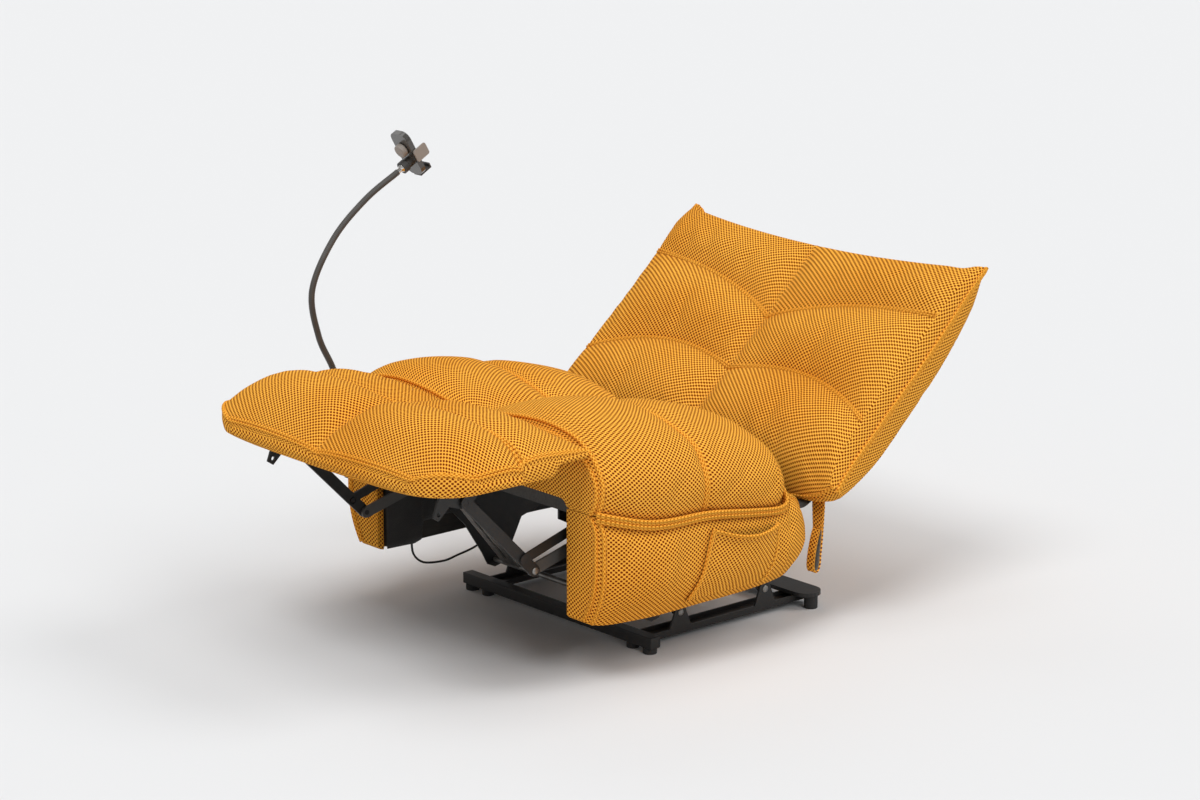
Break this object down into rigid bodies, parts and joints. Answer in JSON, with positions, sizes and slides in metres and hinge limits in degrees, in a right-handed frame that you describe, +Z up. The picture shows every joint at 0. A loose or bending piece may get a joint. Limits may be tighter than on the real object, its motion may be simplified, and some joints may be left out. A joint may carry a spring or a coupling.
{
  "type": "power recliner",
  "caption": "Armless padded recliner in mesh fabric, shown reclined with its powered footrest out, on a low steel base, with a phone holder on a flexible neck.",
  "frame": {"origin": "on the floor, under the middle of the chair's width and length as posed", "axes": "+X to the sitter's left, -Y the way the sitter faces, +Z up; +Y is the longest extent"},
  "size_m": [0.8291, 1.3114, 0.9093],
  "materials": {
    "mesh_fabric": "amber three-dimensional spacer mesh, double stitched",
    "lining": "plain black cloth",
    "webbing": "dark woven webbing deck",
    "black_steel": "semi-gloss black powder coat",
    "zinc_steel": "bright zinc plate",
    "chrome": "polished",
    "plywood": "plain plywood, not seen",
    "dark_plastic": "fine texture",
    "smoke_plastic": "dark grey, a little translucent",
    "taupe_plastic": "warm grey",
    "rubber": "matt black",
    "ribbed_steel": "dark grey, finely ribbed"
  },
  "bodies": {
    "base": {"front_cross_tube": "black_steel", "rear_cross_plate": "black_steel", "base_rail_left": "black_steel", "base_rail_right": "black_steel", "front_glide_left": "rubber", "front_glide_right": "rubber", "rear_glide_left": "rubber", "rear_glide_right": "rubber"},
    "front_links": {"front_lift_link_left": "black_steel", "front_lift_link_right": "black_steel"},
    "rear_links": {"rear_lift_link_left": "black_steel", "rear_lift_link_right": "black_steel"},
    "seat": {"seat_plate_left": "black_steel", "seat_plate_right": "black_steel", "cross_rod": "zinc_steel", "front_seat_rail": "plywood", "rear_seat_rail": "plywood", "seat_webbing": "webbing", "seat_cushion": "mesh_fabric", "side_board_left": "plywood", "side_board_right": "plywood", "side_pad_left": "mesh_fabric", "side_pad_right": "mesh_fabric", "inner_lining_left": "lining", "inner_lining_right": "lining", "side_pocket": "mesh_fabric", "rear_cover": "lining", "drive_rail": "zinc_steel", "lead_screw": "chrome", "drive_motor": "dark_plastic", "neck_socket": "black_steel", "control_panel": "dark_plastic", "control_lead": "rubber"},
    "block": {"drive_block": "dark_plastic"},
    "main_links": {"main_link_left": "black_steel", "main_link_right": "black_steel", "torque_tube": "black_steel"},
    "upper_links": {"upper_link_left": "black_steel", "upper_link_right": "black_steel"},
    "guide_links": {"guide_link_left": "black_steel", "guide_link_right": "black_steel"},
    "footrest": {"footrest_bracket_left": "zinc_steel", "footrest_bracket_right": "zinc_steel", "footrest_board": "plywood", "footrest_cushion": "mesh_fabric"},
    "back": {"back_bracket_left": "black_steel", "back_bracket_right": "black_steel", "back_board": "plywood", "back_cushion": "mesh_fabric"},
    "strap": {"strap_loop": "mesh_fabric"},
    "neck": {"flexible_neck": "ribbed_steel", "ball_stud": "chrome"},
    "ring": {"ring_nut": "dark_plastic"},
    "holder": {"holder_body": "smoke_plastic"},
    "left_jaw": {"jaw_left": "taupe_plastic"},
    "right_jaw": {"jaw_right": "taupe_plastic"},
    "foot": {"phone_foot": "smoke_plastic"},
    "knob": {"clamp_knob": "dark_plastic"},
    "recline_button": {"button_recline": "taupe_plastic"},
    "upright_button": {"button_upright": "taupe_plastic"}
  },
  "joints": [
    {"name": "seat_glide", "type": "hinge", "parent": "base", "child": "rear_links", "pos_m": [0, 0.2293, 0.055], "axis": [-1, 0, 0], "range_deg": [0, 60]},
    {"name": "seat_level", "type": "hinge", "parent": "rear_links", "child": "seat", "pos_m": [0, 0.12645, 0.17757], "axis": [1, 0, 0], "range_deg": [0, 60.01]},
    {"name": "front_link_swing", "type": "hinge", "parent": "base", "child": "front_links", "pos_m": [0, 0.0093, 0.055], "axis": [-1, 0, 0], "range_deg": [0, 60.01]},
    {"name": "back_recline", "type": "hinge", "parent": "seat", "child": "back", "pos_m": [0, 0.2543, 0.225], "axis": [1, 0, 0], "range_deg": [0, 33.01]},
    {"name": "strap_hang", "type": "hinge", "parent": "back", "child": "strap", "pos_m": [0.344, 0.2698, 0.2489], "axis": [-1, 0, 0], "range_deg": [0, 33.01]},
    {"name": "footrest_fold", "type": "hinge", "parent": "seat", "child": "main_links", "pos_m": [0, -0.1457, 0.27], "axis": [1, 0, 0], "range_deg": [0, 71.86]},
    {"name": "footrest_elbow", "type": "hinge", "parent": "main_links", "child": "upper_links", "pos_m": [0, -0.3577, 0.214], "axis": [-1, 0, 0], "range_deg": [0, 82.48]},
    {"name": "footrest_tilt", "type": "hinge", "parent": "upper_links", "child": "footrest", "pos_m": [0, -0.5157, 0.372], "axis": [1, 0, 0], "range_deg": [0, 100.62]},
    {"name": "guide_swing", "type": "hinge", "parent": "seat", "child": "guide_links", "pos_m": [0, -0.1737, 0.306], "axis": [1, 0, 0], "range_deg": [0, 71.41]},
    {"name": "block_slide", "type": "slide", "parent": "seat", "child": "block", "axis": [0, 0.6334, -0.7738], "range_m": [0, 0.0822]},
    {"name": "neck_swivel", "type": "hinge", "parent": "seat", "child": "neck", "pos_m": [-0.4035, -0.2827, 0.32], "axis": [0, 0, 1], "range_deg": [-20, 60]},
    {"name": "holder_tilt", "type": "hinge", "parent": "neck", "child": "ring", "pos_m": [-0.385, -0.14999, 0.83665], "axis": [1, 0, 0], "range_deg": [-25, 25]},
    {"name": "holder_swivel", "type": "hinge", "parent": "ring", "child": "holder", "pos_m": [-0.385, -0.14999, 0.83665], "axis": [0, 0.866, 0.5], "range_deg": [-90, 90]},
    {"name": "knob_turn", "type": "hinge", "parent": "holder", "child": "knob", "pos_m": [-0.385, -0.15311, 0.87006], "axis": [0, 0.866, 0.5], "range_deg": [0, 270]},
    {"name": "jaw_left_slide", "type": "slide", "parent": "holder", "child": "left_jaw", "axis": [1, 0, 0], "range_m": [0, 0.0121]},
    {"name": "jaw_right_slide", "type": "slide", "parent": "holder", "child": "right_jaw", "axis": [-1, 0, 0], "range_m": [0, 0.0121]},
    {"name": "foot_slide", "type": "slide", "parent": "holder", "child": "foot", "axis": [0, 0.5, -0.866], "range_m": [0, 0.018]},
    {"name": "recline_button_press", "type": "slide", "parent": "seat", "child": "recline_button", "axis": [1, 0, 0], "range_m": [0, 0.001], "stiffness_N_per_m": 900, "springref_m": -0.0006},
    {"name": "upright_button_press", "type": "slide", "parent": "seat", "child": "upright_button", "axis": [1, 0, 0], "range_m": [0, 0.001], "stiffness_N_per_m": 900, "springref_m": -0.0006}
  ],
  "couplings": [
    {"joint": "seat_level", "follows": "seat_glide", "ratio": 1},
    {"joint": "front_link_swing", "follows": "seat_glide", "ratio": 1},
    {"joint": "back_recline", "follows": "seat_glide", "ratio": 0.55},
    {"joint": "strap_hang", "follows": "seat_glide", "ratio": 0.55},
    {"joint": "footrest_elbow", "follows": "footrest_fold", "ratio": 1.1477},
    {"joint": "footrest_tilt", "follows": "footrest_fold", "ratio": 1.4002},
    {"joint": "guide_swing", "follows": "footrest_fold", "ratio": 0.9937},
    {"joint": "block_slide", "follows": "footrest_fold", "m_per_rad": 0.06547},
    {"joint": "jaw_left_slide", "follows": "knob_turn", "m_per_rad": 0.00255},
    {"joint": "jaw_right_slide", "follows": "knob_turn", "m_per_rad": 0.00255}
  ]
}
